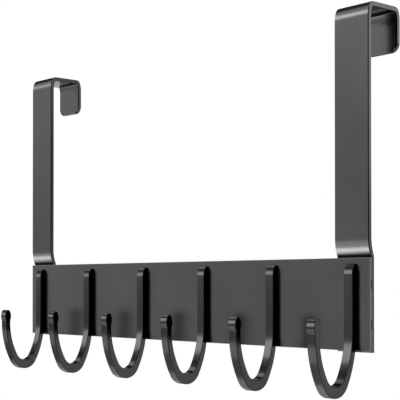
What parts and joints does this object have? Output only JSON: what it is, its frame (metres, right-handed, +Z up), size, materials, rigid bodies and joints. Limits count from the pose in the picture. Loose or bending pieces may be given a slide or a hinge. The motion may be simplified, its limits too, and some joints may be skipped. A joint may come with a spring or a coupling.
{
  "type": "over-door hook rail",
  "caption": "Dark metal coat-hook rail that hangs over a door's top edge on folded straps, with a row of J hooks along a flat plate.",
  "frame": {"origin": "midway between the straps, on the door's top edge, in the plane of the door's front face", "axes": "+X to the right along the rail, +Y into the door, +Z up; the hooks point towards -Y"},
  "size_m": [0.4, 0.0736, 0.2621],
  "materials": {
    "plate_coat": "satin dark grey coat",
    "strap_coat": "satin dark grey coat",
    "hook_coat": "satin dark grey coat",
    "screw_black": "black plated"
  },
  "bodies": {
    "root": {"back_plate": "plate_coat", "left_strap": "strap_coat", "right_strap": "strap_coat", "hook_screws": "screw_black", "strap_screws": "screw_black", "hook_1": "hook_coat", "hook_2": "hook_coat", "hook_3": "hook_coat", "hook_4": "hook_coat", "hook_5": "hook_coat", "hook_6": "hook_coat"}
  },
  "joints": []
}
